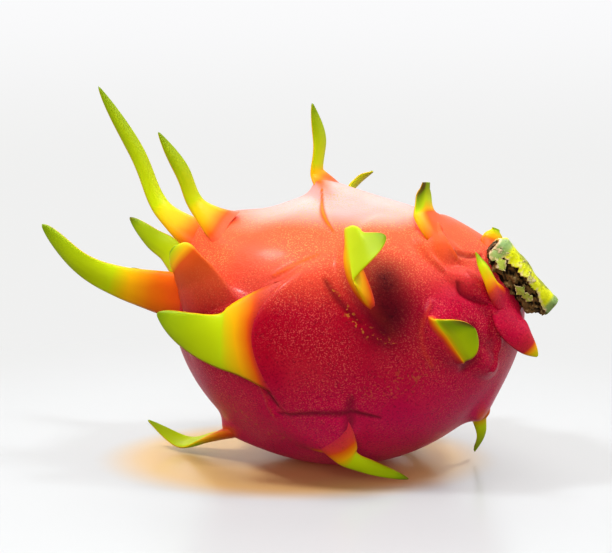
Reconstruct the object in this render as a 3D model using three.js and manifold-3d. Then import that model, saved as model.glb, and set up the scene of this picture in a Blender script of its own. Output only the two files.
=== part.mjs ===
// A dragon fruit (pitaya) lying on its side on a small flat spot: the fruit with its leathery skin,
// the leaf-like bracts that grow out of the skin, and the stub of cactus stem it was cut with.
//
// Millimetres, +Z up. +X points to the stem end, -X to the blossom end with its crown of long
// bracts, -Y to the front. The origin is on the surface the fruit rests on, under the middle of
// the whole object's box.
//
// A place on the skin is given by two angles: the station, 0 at the stem pole and 180 at the
// blossom pole, and the angle round the axis, 0 at the front and 90 on top.

import * as THREE from 'three';
import { mergeVertices } from 'three/addons/utils/BufferGeometryUtils.js';
import Module from 'manifold-3d';

// Driving dimensions, mm and degrees
const HALF_LENGTH = 56;        // pole to middle, along the axis
const HALF_WIDTH = 42.3;       // fattest radius
const FULLNESS = 0.92;         // below 1 the ends are blunter than an ellipsoid's
const TAPER = 0.045;           // how much fatter the blossom end is
const ARCH = 9;                // how far both poles stand above the middle of the axis
const AXIS_YAW = 18;           // the blossom end is turned away from the front
const AXIS_PITCH = 3;          // and raised
const CENTRE = new THREE.Vector3(15.2, -1.1, 41.6);
const SKIN_STATIONS = 40;
const SKIN_SEGMENTS = 32;

const BRACT_ROWS = 8;          // from root to tip
const BRACT_ACROSS = 4;        // points across one face
const BRACT_EASE = 0.3;        // share of the length over which a root turns into a free blade
const ROOT_BEHIND = 3.5;       // how far a root's outer face starts behind its ridge
const ROOT_AHEAD = 2;          // and its inner face in front of it
const ROOT_DEPTH = 0.8;        // below the skin
const RIDGE_ROUNDING = 0.9;    // radius at the crest of a swelling
const RIDGE_BOW = 1.7;         // power of the line that a root's ends bow back along
const RIDGE_DROP = 0.6;        // distance over which the swelling turns from climbing to dropping
const SWELL_FADE = 1.25;       // power of a swelling's fall with distance
const SWELL_REACH = 1.15;      // how far sideways it reaches, in half-widths of its root
const SWELL_POWER = 2.5;       // how sharply neighbouring swellings meet
const BLADE_TAPER = 0.7;       // power of a blade's narrowing
const BLADE_THINNING = 0.65;   // share of its thickness that is gone at its tip
const BLADE_EDGE = 2.5;        // power of the rounding of its edges
const TIP_HEIGHT = 0.4;        // lowest a tip comes to the surface

const GAP = 0.3;               // clear space between touching pieces

const RIND = { color: 0xb0183f, roughness: 0.38, metalness: 0 };
const LEAF = { color: 0xa8b820, roughness: 0.5, metalness: 0 };
const CORK = { color: 0x7d7a33, roughness: 0.8, metalness: 0 };

// Bracts: where each is rooted (station, angle), the half-width of its root and of its blade (strap),
// and three points that its middle passes through, the last one its tip, counted from the root as
// right, away and up. step is how high the skin swells behind the root, sweep how far the root's
// ends bow back, back and front how far the swelling reaches. flare is how quickly the root's width
// falls to the blade's, point how late the blade narrows, blunt the share of its width left at its
// tip, cup its bend across, twist its turn along its length and turn that of the root.
const BRACTS = [
  { name: 'front_bract', at: 104, angle: 6, width: 20, strap: 7.4, step: 4.5, sweep: 0.45, back: 16,
    thick: 2.6, flare: 5, cup: 12, path: [[-11.6, 0.5, -2.2], [-22, 3, 0.4], [-31.2, 7, 5]] },
  { name: 'front_upper_bract', at: 80, angle: 37, width: 14, strap: 7.5, sweep: 0.4, thick: 2,
    flare: 2, cup: 5, turn: -14, path: [[0.7, -5, 4.8], [4.6, -8, 7.5], [10.3, -8, 10.7]] },
  { name: 'front_right_bract', at: 48, angle: 4, width: 9, strap: 7.2, sweep: 0.2, back: 9,
    thick: 2, flare: 2, cup: 5, point: 5, turn: -30,
    path: [[3, -4, 1.3], [5.9, -7, 2.5], [9.7, -7, 5.1]] },
  { name: 'top_bract', at: 102, angle: 97, width: 11, strap: 3.3, step: 5, thick: 2.4, flare: 6,
    point: 4, twist: 40, path: [[-1, 0, 8], [-0.3, 0, 17.5], [-3, 0, 28.8]] },
  { name: 'back_top_bract', at: 94, angle: 125, width: 10, strap: 5, flare: 3,
    path: [[-3.3, 3, 6.2], [0, 5, 10], [4.4, 6, 13.2]] },
  { name: 'bottom_front_bract', at: 79.5, angle: -38, width: 9, strap: 2.5, sweep: 0.4, thick: 2.8,
    point: 4, twist: 55, turn: -142, path: [[1.8, -2, -6.6], [8.7, -1, -9.6], [20.1, 0, -13.3]] },
  { name: 'bottom_left_bract', at: 126, angle: -75, width: 9, strap: 4.4, thick: 2.6, twist: 35,
    path: [[-8.4, 4, -7.3], [-17.1, 8, -9.6], [-28.7, 12, -2.9]] },
  { name: 'bottom_right_bract', at: 38, angle: -85, width: 6, strap: 1.9, step: 3, back: 8,
    path: [[1.5, 4, -3], [2.7, 8, -9.5], [1.2, 14, -16.3]] },

  { name: 'crown_left_bract', at: 146, angle: 10, width: 7.5, strap: 3, step: 3, back: 9,
    thick: 2.6, flare: 2, point: 8, path: [[-17.5, -2, 3.9], [-30.2, -2, 10.1], [-42.3, 2, 21.7]] },
  { name: 'crown_tall_bract', at: 148, angle: 54, width: 6.5, strap: 2.7, step: 3, back: 9,
    flare: 5, point: 7, path: [[-10.4, 3, 11.7], [-17.4, 6, 27.5], [-29.5, 8, 47.8]] },
  { name: 'crown_near_bract', at: 133, angle: 56, width: 8, strap: 3, step: 2, back: 7, thick: 2.4,
    flare: 8, point: 5, path: [[-6.2, 0, 8.7], [-10.1, 0, 18.3], [-17.3, 0, 29.7]] },
  { name: 'crown_folded_bract', at: 126, angle: 12, width: 12, strap: 7, step: 3, sweep: 0.4,
    back: 9, thick: 2.4, flare: 2.5, point: 9, turn: 50,
    path: [[-3.5, -3, 6.6], [-7, -3, 12], [-10.8, 0, 17]] },
  { name: 'crown_small_bract', at: 145, angle: 25, width: 4, strap: 4, step: 1.5, back: 6,
    thick: 1.8, flare: 3, point: 3, path: [[-4.3, 1, 6.8], [-10.1, 4, 10.5], [-17.3, 8, 16.6]] },
  { name: 'crown_back_bract', at: 148, angle: 140, width: 10, strap: 4.5, step: 3, back: 9,
    thick: 2.4, path: [[-9, 8, 3], [-18, 14, 6], [-27, 20, 14]] },
  { name: 'crown_rear_bract', at: 150, angle: -170, width: 10, strap: 4.5, step: 3, back: 9,
    thick: 2.4, path: [[-12, 5, 0], [-23, 8, 2], [-34, 10, 8]] },
  { name: 'crown_low_bract', at: 146, angle: -120, width: 9, strap: 4, step: 3, back: 9,
    path: [[-4, 5, -3], [-8, 12, -5], [-12, 20, -4]] },

  { name: 'shoulder_bract', at: 60, angle: 70, width: 11, strap: 4.4, step: 3.2, sweep: 0.4,
    back: 9, thick: 2.4, blunt: 0.5, path: [[-0.7, 0, 5.1], [-1.2, 1, 9.8], [-0.7, 1, 14]] },
  { name: 'stem_front_bract', at: 25, angle: 33, width: 4.5, strap: 2.3, step: 2, back: 5, flare: 2,
    path: [[-1.4, -4, 4], [-4.4, -4.5, 10], [-7.1, -2.5, 14.6]] },
  { name: 'stem_back_bract', at: 35, angle: 86, width: 6, strap: 4.5, step: 1.5, back: 7, flare: 2,
    blunt: 0.4, path: [[0.4, 1.2, 2], [0.8, 2, 4], [1.2, 2.8, 6]] },
  { name: 'stem_lower_bract', at: 19, angle: 20, width: 7.5, strap: 5, step: 2.5, back: 5, thick: 2,
    flare: 2, twist: -55, turn: -90, path: [[1.9, -4, -2.1], [5.1, -4.5, -6.8], [9.5, -2, -12.4]] },
  { name: 'stem_under_bract', at: 40, angle: -150, width: 7, strap: 4, step: 1.5, back: 6,
    thick: 2.4, flare: 2, path: [[0.5, 4.5, -2.5], [1, 9, -4.5], [3, 13.5, -4.5]] },

  { name: 'rear_bract', at: 100, angle: 170, width: 18, strap: 9, step: 4.5, sweep: 0.4, back: 16,
    thick: 2.6, flare: 3.5, path: [[-11, 2.5, 1], [-21, 2, 3], [-31, -1, 8]] },
  { name: 'rear_upper_bract', at: 74, angle: 165, width: 14, strap: 8, step: 4.2, sweep: 0.4,
    flare: 3, path: [[-4, 6, 2], [-3, 9, 4], [2, 10, 7]] },
  { name: 'rear_low_bract', at: 96, angle: -140, width: 12, strap: 5, thick: 2.4,
    path: [[-8, 4, -4], [-16, 4, -5], [-24, 0, -4]] },
  { name: 'rear_right_bract', at: 50, angle: -160, width: 12, strap: 7, step: 4.2, back: 10,
    flare: 3, path: [[-2, 6, 0], [0, 9, 2], [5, 10, 5]] },
  { name: 'rear_shoulder_bract', at: 52, angle: 150, width: 11, strap: 6, back: 9, flare: 3,
    path: [[-0.9, 6, 0.6], [0.7, 9, 2.2], [2.1, 10, 5]] },
  { name: 'rear_bottom_bract', at: 66, angle: -120, width: 10, strap: 4, step: 3.5, back: 9,
    path: [[-4, 6, -4.5], [-8, 12, -7.4], [-14, 18, -8.2]] },
];
const BRACT_DEFAULTS = {
  step: 4, sweep: 0.35, back: 14, front: 2.5, thick: 2.2, flare: 4, cup: 20, point: 2.6, blunt: 0,
  twist: 0, turn: 0,
};

// The cut stem: where it is rooted on the skin, its middle from there as right, away and up, and
// its sections, each at a place along its slope, its own middle raised or lowered a little
const STEM_AT = { station: 14, angle: 62 };
const STEM_MIDDLE = [3.2, 0, 1.2];
const STEM_SLOPE = -42;        // the stub points down to the right
const STEM_ROUNDING = 3.2;     // power of its rounded-rectangle sections
const STEM_CORNERS = 12;
const STEM_SECTIONS = [
  { along: -17, raised: 2.5, tall: 2.6, deep: 3.5 },
  { along: -15, raised: 1.8, tall: 5, deep: 5.2 },
  { along: -11.5, raised: 0.6, tall: 6.2, deep: 6.4 },
  { along: -6.5, raised: -0.5, tall: 6.7, deep: 6.8 },
  { along: -1, raised: -0.9, tall: 5.8, deep: 6.6 },
  { along: 4, raised: -0.6, tall: 4.7, deep: 6 },
  { along: 7.5, raised: 0.1, tall: 3.9, deep: 5.2 },
  { along: 9, raised: 0.3, tall: 3.3, deep: 4.4 },
];

// Small helpers
const rad = THREE.MathUtils.degToRad;
const clamp = THREE.MathUtils.clamp;
const vec = (x, y, z) => new THREE.Vector3(x, y, z);
const sum = (p, ...terms) => terms.reduce((q, [v, k]) => q.addScaledVector(v, k), p.clone());
const across = (a, b) => a.clone().cross(b);

// The fruit's own directions: along the axis to the blossom end, to the front, and up
const AXIS = vec(
  -Math.cos(rad(AXIS_YAW)) * Math.cos(rad(AXIS_PITCH)),
  Math.sin(rad(AXIS_YAW)) * Math.cos(rad(AXIS_PITCH)),
  Math.sin(rad(AXIS_PITCH)));
const FORE = vec(-Math.sin(rad(AXIS_YAW)), -Math.cos(rad(AXIS_YAW)), 0);
const OVER = across(AXIS, FORE);

// The smooth fruit without its swellings: a point and its outward normal
function plainSkin(station, angle) {
  const u = -Math.cos(station);
  const s = Math.max(Math.sin(station), 0);
  const radius = HALF_WIDTH * s ** FULLNESS * (1 + TAPER * u);
  const spoke = sum(vec(0, 0, 0), [FORE, Math.cos(angle)], [OVER, Math.sin(angle)]);
  return {
    point: sum(CENTRE, [AXIS, HALF_LENGTH * u], [spoke, radius], [OVER, ARCH * u * u]),
    normal: sum(vec(0, 0, 0), [AXIS, HALF_WIDTH * u], [spoke, HALF_LENGTH * s]).normalize(),
  };
}

// The station and angle of the skin under a point
function address(point) {
  const d = point.clone().sub(CENTRE);
  const u = clamp(d.dot(AXIS) / HALF_LENGTH, -1, 1);
  d.addScaledVector(OVER, -ARCH * u * u);
  const [along, fore, over] = [d.dot(AXIS), d.dot(FORE), d.dot(OVER)];
  return {
    station: Math.atan2(Math.hypot(fore, over) / HALF_WIDTH, -along / HALF_LENGTH),
    angle: Math.atan2(over, fore),
  };
}

// A bract's root and its directions there: forward along the skin to the blossom end, sideways,
// and out of the skin
function placeBract(entry) {
  const b = { ...BRACT_DEFAULTS, ...entry };
  const station = rad(b.at);
  const angle = rad(b.angle);
  const e = 1e-3;
  const { point, normal } = plainSkin(station, angle);
  const ahead = plainSkin(station + e, angle).point.sub(plainSkin(station - e, angle).point);
  const forward = sum(ahead, [normal, -ahead.dot(normal)]).normalize();
  const side = across(forward, normal);
  const turn = rad(b.turn);
  b.root = point;
  b.out = normal;
  b.forward = sum(vec(0, 0, 0), [forward, Math.cos(turn)], [side, Math.sin(turn)]);
  b.side = across(b.forward, normal);
  return b;
}
const bracts = BRACTS.map(placeBract);

// The line across a bract's root, bowed back at its ends
const ridge = (b, s) => -b.sweep * b.width * (Math.abs(s) / b.width) ** RIDGE_BOW;

// How far the skin swells at a point because of one bract: it climbs slowly to the ridge and
// drops off quickly in front of it
function swelling(b, point) {
  const d = point.clone().sub(b.root);
  const [f0, s0] = [d.dot(b.forward), d.dot(b.side)];
  const scale = d.length() / (Math.hypot(f0, s0) + 1e-9);
  const [f, s] = [f0 * scale, s0 * scale];
  const q = f - ridge(b, s);
  const reach = Math.exp(-((Math.abs(s) / (SWELL_REACH * b.width)) ** 3));
  const soft = Math.sqrt(q * q + RIDGE_ROUNDING * RIDGE_ROUNDING) - RIDGE_ROUNDING;
  const inFront = 1 / (1 + Math.exp(-q / RIDGE_DROP));
  const length = b.back * (1 - inFront) + b.front * inFront;
  return b.step * reach * Math.exp(-((soft / length) ** SWELL_FADE));
}

// The skin with its swellings, lifted by a distance, never below the surface it rests on
function skin(station, angle, lift = 0) {
  const { point, normal } = plainSkin(station, angle);
  const total = bracts.reduce((t, b) => t + swelling(b, point) ** SWELL_POWER, 0);
  const out = sum(point, [normal, total ** (1 / SWELL_POWER) + lift]);
  out.z = Math.max(out.z, -lift);
  return out;
}

// The skin at a distance forward and sideways from a bract's root
function skinNear(b, forward, side, lift) {
  const { station, angle } = address(sum(b.root, [b.forward, forward], [b.side, side]));
  return skin(station, angle, lift);
}

// A closed geometry from rings of equally many points, closed at both ends by a middle point
function loft(rings, first, last) {
  const n = rings[0].length;
  const points = [...rings.flat(), first, last];
  const index = [];
  for (let i = 0; i + 1 < rings.length; i += 1) {
    for (let j = 0; j < n; j += 1) {
      const [a, b] = [i * n + j, i * n + ((j + 1) % n)];
      index.push(a, b, b + n, a, b + n, a + n);
    }
  }
  const end = (rings.length - 1) * n;
  for (let j = 0; j < n; j += 1) {
    index.push(points.length - 2, (j + 1) % n, j);
    index.push(points.length - 1, end + j, end + ((j + 1) % n));
  }
  const geometry = new THREE.BufferGeometry().setFromPoints(points);
  geometry.setIndex(index);
  return geometry;
}

// The fruit's skin as one closed surface
function skinGeometry(lift) {
  const rings = [];
  for (let i = 1; i < SKIN_STATIONS; i += 1) {
    const ring = [];
    for (let j = 0; j < SKIN_SEGMENTS; j += 1) {
      const angle = rad(-90) + ((j + 0.5) / SKIN_SEGMENTS) * 2 * Math.PI;
      ring.push(skin((i / SKIN_STATIONS) * Math.PI, angle, lift));
    }
    rings.push(ring);
  }
  return loft(rings, skin(0, 0, lift), skin(Math.PI, 0, lift));
}

// A bract as one closed surface: a cupped blade along a curve through the bract's points, whose
// root sinks into the skin along the ridge
function bractGeometry(b, grow = 0) {
  const start = skinNear(b, 0, 0, 0);
  const stops = b.path.map(([x, y, z]) => b.root.clone().add(vec(x, y, z)));
  const curve = new THREE.CatmullRomCurve3([start, ...stops], false, 'catmullrom', 0.5);
  const cup = rad(b.cup);
  const rings = [];
  let side = null;
  let middle = null;
  for (let i = 0; i < BRACT_ROWS; i += 1) {
    const v = i / BRACT_ROWS;
    middle = curve.getPoint(v);
    const along = curve.getTangent(v);
    side = (side ?? b.side).clone();
    side.addScaledVector(along, -side.dot(along)).normalize();
    const turned = side.clone().applyAxisAngle(along, -rad(b.twist) * v);
    const outer = across(turned, along);
    const blade = b.strap * Math.max((1 - v ** b.point) ** BLADE_TAPER, b.blunt);
    const half = grow + blade + (b.width - b.strap) * (1 - v) ** b.flare;
    const thick = 2 * grow + b.thick * (1 - BLADE_THINNING * v);
    const ease = THREE.MathUtils.smoothstep(v, 0, BRACT_EASE);
    const ring = [];
    for (let j = 0; j < 2 * BRACT_ACROSS - 2; j += 1) {
      const face = j < BRACT_ACROSS ? 1 : -1;
      const step = face > 0 ? j : 2 * BRACT_ACROSS - 2 - j;
      const x = (2 * step) / (BRACT_ACROSS - 1) - 1;
      const edge = Math.sqrt(Math.max(1 - Math.abs(x) ** BLADE_EDGE, 0));
      const free = sum(middle,
        [turned, (half * Math.sin(x * cup)) / Math.sin(cup)],
        [outer, (-half * (1 - Math.cos(x * cup))) / Math.sin(cup) + 0.5 * thick * face * edge]);
      const s = x * (b.width + grow);
      const f = ridge(b, s) + (face > 0 ? -ROOT_BEHIND - grow : ROOT_AHEAD + grow) * edge;
      const p = skinNear(b, f, s, -ROOT_DEPTH).lerp(free, ease);
      p.z = Math.max(p.z, 0);
      ring.push(p);
    }
    rings.push(ring);
  }
  const sunk = skinNear(b, ridge(b, 0), 0, -2 * ROOT_DEPTH);
  const tip = curve.getPoint(1);
  tip.z = Math.max(tip.z, TIP_HEIGHT);
  return loft(rings, sunk, tip);
}

// The stub of stem: rounded-rectangle sections along a sloping line
function stemGeometry() {
  const root = plainSkin(rad(STEM_AT.station), rad(STEM_AT.angle)).point.add(vec(...STEM_MIDDLE));
  const slope = rad(STEM_SLOPE);
  const length = vec(Math.cos(slope), 0, Math.sin(slope));
  const tall = vec(-Math.sin(slope), 0, Math.cos(slope));
  const deep = vec(0, -1, 0);
  const middles = STEM_SECTIONS.map((s) => sum(root, [length, s.along], [tall, s.raised]));
  const rings = STEM_SECTIONS.map((section, i) => (
    Array.from({ length: STEM_CORNERS }, (_, j) => {
      const turn = (j / STEM_CORNERS) * 2 * Math.PI;
      const [up, out] = [Math.cos(turn), Math.sin(turn)];
      const power = STEM_ROUNDING;
      const round = (Math.abs(up) ** power + Math.abs(out) ** power) ** (-1 / power);
      return sum(middles[i], [tall, section.tall * round * up], [deep, section.deep * round * out]);
    })));
  return loft(rings, middles[0], middles.at(-1));
}

// Solids for cutting
const wasm = await Module();
wasm.setup();

function toSolid(geometry) {
  const merged = mergeVertices(geometry, 1e-5);
  return new wasm.Manifold(new wasm.Mesh({
    numProp: 3,
    vertProperties: new Float32Array(merged.attributes.position.array),
    triVerts: new Uint32Array(merged.index.array),
  }));
}

// The largest separate piece of a solid, so that a cut leaves no crumbs
function largest(solid) {
  return solid.decompose().reduce((a, b) => (b.volume() > a.volume() ? b : a));
}

function toGeometry(solid) {
  const { vertProperties, triVerts } = solid.getMesh();
  const geometry = new THREE.BufferGeometry();
  geometry.setAttribute('position', new THREE.BufferAttribute(vertProperties, 3));
  geometry.setIndex(new THREE.BufferAttribute(triVerts, 1));
  return geometry;
}

// The whole fruit. Each piece gives way to the skin and to the pieces made before it, grown by
// the gap.
const group = new THREE.Group();

function addPiece(name, geometry, finish) {
  const mesh = new THREE.Mesh(geometry, new THREE.MeshStandardMaterial(finish));
  mesh.name = name;
  group.add(mesh);
}

const taken = [toSolid(skinGeometry(GAP))];

function cutClear(geometry, grown) {
  let solid = toSolid(geometry);
  for (const other of taken) {
    solid = solid.subtract(other);
  }
  taken.push(toSolid(grown));
  return toGeometry(largest(solid));
}

addPiece('fruit_body', skinGeometry(0), RIND);
for (const b of bracts) {
  addPiece(b.name, cutClear(bractGeometry(b), bractGeometry(b, GAP)), LEAF);
}
addPiece('cut_stem', cutClear(stemGeometry(), stemGeometry()), CORK);

export default group;
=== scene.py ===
"""A dragon fruit lying on its side on a small flat spot.

Shapes are worked out in millimetres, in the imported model's own frame, and become metres as they go
into their meshes. A place on the fruit's skin is given by its station, 0 at the stem pole and 180
degrees at the blossom pole, and by its angle round the axis, 0 at the front and 90 on top.
"""

import bpy
import numpy as np
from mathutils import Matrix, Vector


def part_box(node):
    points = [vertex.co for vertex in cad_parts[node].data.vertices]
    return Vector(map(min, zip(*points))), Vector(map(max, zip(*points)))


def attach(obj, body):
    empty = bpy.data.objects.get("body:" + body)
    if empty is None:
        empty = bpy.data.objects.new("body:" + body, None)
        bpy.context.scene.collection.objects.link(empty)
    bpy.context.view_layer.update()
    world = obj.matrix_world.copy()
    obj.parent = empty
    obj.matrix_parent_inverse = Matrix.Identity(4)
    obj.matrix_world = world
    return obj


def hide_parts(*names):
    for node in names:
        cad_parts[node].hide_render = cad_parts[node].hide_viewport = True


bl_info = {
    "name": "Dragon fruit",
    "version": (1, 0, 0),
    "blender": (4, 5, 0),
    "location": "View3D > Sidebar > Dragon fruit",
    "description": "Builds a dragon fruit with its bracts, its stem stub and a plain pale stage",
    "category": "Add Mesh",
}

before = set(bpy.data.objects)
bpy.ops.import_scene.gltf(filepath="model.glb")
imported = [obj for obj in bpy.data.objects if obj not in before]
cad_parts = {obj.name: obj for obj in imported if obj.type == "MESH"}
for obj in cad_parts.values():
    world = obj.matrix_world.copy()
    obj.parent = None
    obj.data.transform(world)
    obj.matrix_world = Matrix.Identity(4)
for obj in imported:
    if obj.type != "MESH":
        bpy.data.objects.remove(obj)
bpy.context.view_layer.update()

MM = 0.001

# Grid sizes: rows along a surface and points round or across it
SKIN_GRID = (250, 390)
BRACT_GRID = (72, 26)
STUB_GRID = (150, 220)
SHEET_GRID = (130, 110)
FLAP_GRID = (40, 30)

# How the skin swells behind a bract's root, in millimetres and powers
RIDGE_ROUNDING = 0.9     # radius at the crest
RIDGE_BOW = 1.7          # power of the line that a root's ends bow back along
RIDGE_DROP = 0.6         # distance over which climbing turns into dropping
SWELL_FADE = 1.25        # power of the fall with distance from the ridge
SWELL_REACH = 1.15       # how far sideways it reaches, in half-widths of the root
SWELL_POWER = 2.5        # how sharply neighbouring swellings meet
LOBE_POWER = 1.3         # roundness of a lobe, below 1 flat with steep sides

# How a bract is shaped, in millimetres, shares and powers
BRACT_EASE = 0.30        # share of its length over which its root turns into a free blade
ROOT_BEHIND = 4.5        # how far its outer face starts behind the ridge
ROOT_AHEAD = 2.0         # and its inner face in front of it
ROOT_DEPTH = 0.6         # both below the skin
BLADE_TAPER = 0.7        # power of its narrowing
BLADE_THINNING = 0.65    # share of its thickness that is gone at its tip
BLADE_EDGE = 2.5         # power of the rounding of its edges
RIPPLES = (9.0, 1.7)     # waves along its edges, and how much they slant, radians
TIP_HEIGHT = 0.2         # lowest a tip comes to the surface

# The stage and the view
# The painted warm reflection and shadow tint of the fruit on the surface under it
PAINTED_REFLECTION_SPOT = (0.060, 0.046)   # half-axes of the warm tinge under the fruit, metres
FLOOR_FADE = (0.09, 0.22)    # radii between which the surface turns into the even backdrop, metres
AIM = (0.0, 0.0, 0.05)       # where most lamps point, metres
VIEW_OFFSET = (-12.3, 0.0, 17.2)    # from the body's middle to the point the camera looks at, mm

# Sockets of a Mix node for colours: its two colours and its result
MIX_A, MIX_B, MIX_RESULT = 6, 7, 2

# The stub of stem: where it stands on the skin, its middle from there as right, away and up, and
# the slope of its length. Each section gives its place along the stub, the height of its middle and
# its half-height and half-depth, in millimetres.
STUB_AT = (14.0, 62.0)
STUB_MIDDLE = (3.2, 0.0, 1.2)
STUB_SLOPE = -42.0
STUB_ROUNDING = 3.2      # power of its rounded-rectangle sections
STUB_SECTIONS = np.array([
    (-17.0, 2.5, 2.6, 3.5), (-15.0, 1.8, 5.0, 5.2), (-11.5, 0.6, 6.2, 6.4), (-6.5, -0.5, 6.7, 6.8),
    (-1.0, -0.9, 5.8, 6.6), (4.0, -0.6, 4.7, 6.0), (7.5, 0.1, 3.9, 5.2), (9.0, 0.3, 3.3, 4.4)])


# ---------------------------------------------------------------- settings

def length(name, value, about):
    """A size property, given in millimetres and kept in metres."""
    return bpy.props.FloatProperty(
        name=name, default=value * MM, min=0.0, unit="LENGTH", description=about)


def colour(name, value, about):
    """A colour property, linear red, green and blue."""
    return bpy.props.FloatVectorProperty(
        name=name, default=value, size=3, min=0.0, max=1.0, subtype="COLOR", description=about)


class PitayaBodySettings(bpy.types.PropertyGroup):
    """Sizes of the fruit's body."""

    half_length: length("Half length", 56.0, "From the middle of the body to a pole")
    half_width: length("Half width", 42.3, "Fattest radius of the body")
    arch: length("Arch", 9.0, "How far the poles stand above the middle of the axis")
    fullness: bpy.props.FloatProperty(
        name="Fullness", default=0.92, min=0.5, max=1.5, description="Below 1 the ends are blunter")
    taper: bpy.props.FloatProperty(
        name="Taper", default=0.045, min=-0.3, max=0.3, description="How much fatter the blossom end is")
    yaw: bpy.props.FloatProperty(
        name="Yaw", default=np.radians(18.0), subtype="ANGLE",
        description="Turn of the axis from the front")
    pitch: bpy.props.FloatProperty(
        name="Pitch", default=np.radians(3.0), subtype="ANGLE", description="Rise of the blossom end")
    centre_height: length("Centre height", 41.6, "Height of the body's middle over the surface")


class PitayaColourSettings(bpy.types.PropertyGroup):
    """Colours of the skin, the bracts and the stem."""

    crimson: colour("Crimson", (0.47, 0.0005, 0.024), "Skin over most of the fruit")
    magenta: colour("Magenta", (0.74, 0.0005, 0.115), "Skin low on the fruit")
    coral: colour("Coral", (0.88, 0.125, 0.045), "Skin on the upper side")
    fleck: colour("Fleck", (0.74, 0.12, 0.10), "Fine light flecks in the crimson skin")
    peach: colour("Peach", (1.0, 0.36, 0.11), "Fine light flecks in the coral skin")
    # Painted sheen: paler pink skin along the top, standing in for the bright lights reflected there
    painted_sheen: colour("Bloom", (0.86, 0.44, 0.42), "Waxy bloom along the top")
    gold: colour("Gold", (0.60, 0.25, 0.03), "Golden flecks along the seams")
    # Dark colour of the skin's grain, and of the painted shade in creases and dips and the painted
    # shadow beside front_upper_bract
    bruise: colour("Bruise", (0.055, 0.002, 0.008), "Dark blotches and creases")
    flame: colour("Flame", (0.80, 0.11, 0.003), "Root of a bract")
    amber: colour("Amber", (0.95, 0.46, 0.001), "Lower part of a bract and its margins")
    lime: colour("Lime", (0.58, 0.68, 0.001), "Middle of a bract")
    leaf: colour("Leaf green", (0.24, 0.34, 0.001), "Upper part of a bract")
    dry: colour("Dry tip", (0.14, 0.10, 0.010), "Withered tip of a bract")
    stem_skin: colour("Stem skin", (0.72, 0.72, 0.006), "Cactus skin on the stub")
    olive: colour("Olive", (0.20, 0.22, 0.012), "Darker cactus skin")
    scar: colour("Scar", (0.80, 0.62, 0.36), "Dried scars and edges of the cactus skin")
    pore: colour("Pore", (0.03, 0.015, 0.008), "Dark pores of the cactus skin")
    cork: colour("Cork", (0.20, 0.115, 0.040), "Broken brown tissue of the stub")
    # Painted shade: near black where the stub's broken tissue lies low in its pits
    painted_pit_shade: colour("Hollow", (0.018, 0.011, 0.006), "Deep hollows in the broken tissue")
    crumb: colour("Crumb", (0.50, 0.36, 0.16), "Pale crumbs on the broken tissue")
    pith: colour("Pith", (0.20, 0.33, 0.14), "Blue-green inside of the stub")


class PitayaStageSettings(bpy.types.PropertyGroup):
    """The stage, the light and the camera."""

    floor: colour("Floor", (0.57, 0.565, 0.56), "Pale glossy surface")
    # Painted warm reflection of the fruit and warm shadow tint on the surface close under it
    glow_and_painted_reflection: colour("Glow", (0.80, 0.52, 0.22), "Warm tinge of the surface close under the fruit")
    haze: colour("Haze", (0.905, 0.905, 0.90), "Backdrop at the height of the surface")
    white: colour("White", (0.99, 0.99, 1.0), "Backdrop higher up")
    lens: bpy.props.FloatProperty(
        name="Lens", default=90.0, min=20.0, description="Focal length of the camera, mm")
    distance: length("Distance", 482.0, "From the camera to the point it looks at")
    elevation: bpy.props.FloatProperty(
        name="Elevation", default=np.radians(8.5), subtype="ANGLE", description="Camera above level")


# ---------------------------------------------------------------- shape of the body

def unit(v):
    """Vectors divided by their lengths."""
    return v / np.maximum(np.linalg.norm(v, axis=-1, keepdims=True), 1e-12)


def smooth(x, low, high):
    """0 below low, 1 above high, and an S curve between them."""
    t = np.clip((x - low) / (high - low), 0.0, 1.0)
    return t * t * (3.0 - 2.0 * t)


class Fruit:
    """The body's smooth shape: an ellipsoid whose ends are a little blunter, whose blossom end is a
    little fatter and whose axis bends up towards both poles."""

    def __init__(self, settings):
        self.half_length = settings.half_length / MM
        self.half_width = settings.half_width / MM
        self.arch = settings.arch / MM
        self.fullness = settings.fullness
        self.taper = settings.taper
        yaw, pitch = settings.yaw, settings.pitch
        self.axis = np.array([-np.cos(yaw) * np.cos(pitch), np.sin(yaw) * np.cos(pitch), np.sin(pitch)])
        self.fore = np.array([-np.sin(yaw), -np.cos(yaw), 0.0])
        self.over = np.cross(self.axis, self.fore)
        self.centre = np.array([0.0, 0.0, settings.centre_height / MM])
        self.centre[:2] = self.middle_of_cad()

    def middle_of_cad(self):
        """Where the centre has to be for the plain body to lie in the middle of the CAD body's box."""
        station, angle = np.meshgrid(np.linspace(0, np.pi, 60), np.linspace(0, 2 * np.pi, 60))
        points, _ = self.plain(station, angle)
        low, high = (np.array(corner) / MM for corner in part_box("fruit_body"))
        return ((low + high) / 2 - (points.min((0, 1)) + points.max((0, 1))) / 2)[:2]

    def plain(self, station, angle):
        """Points of the skin without swellings, and their outward normals. A point is u along the
        axis, with u = -cos(station), and a radius out, half_width times sin(station) to the power
        fullness, widened by taper times u, and all is lifted by arch times u squared."""
        station, angle = np.broadcast_arrays(station, angle)
        u, s = -np.cos(station), np.maximum(np.sin(station), 0.0)
        radius = self.half_width * s ** self.fullness * (1 + self.taper * u)
        spoke = np.cos(angle)[..., None] * self.fore + np.sin(angle)[..., None] * self.over
        points = (self.centre + (self.half_length * u)[..., None] * self.axis
                  + radius[..., None] * spoke + (self.arch * u * u)[..., None] * self.over)
        normals = unit((self.half_width * u)[..., None] * self.axis
                       + (self.half_length * s)[..., None] * spoke)
        return points, normals

    def address(self, points):
        """The station and angle of the skin under some points."""
        d = points - self.centre
        u = np.clip(d @ self.axis / self.half_length, -1, 1)
        d = d - (self.arch * u * u)[..., None] * self.over
        fore, over = d @ self.fore, d @ self.over
        station = np.arctan2(np.hypot(fore, over) / self.half_width, -(d @ self.axis) / self.half_length)
        return station, np.arctan2(over, fore)


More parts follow.
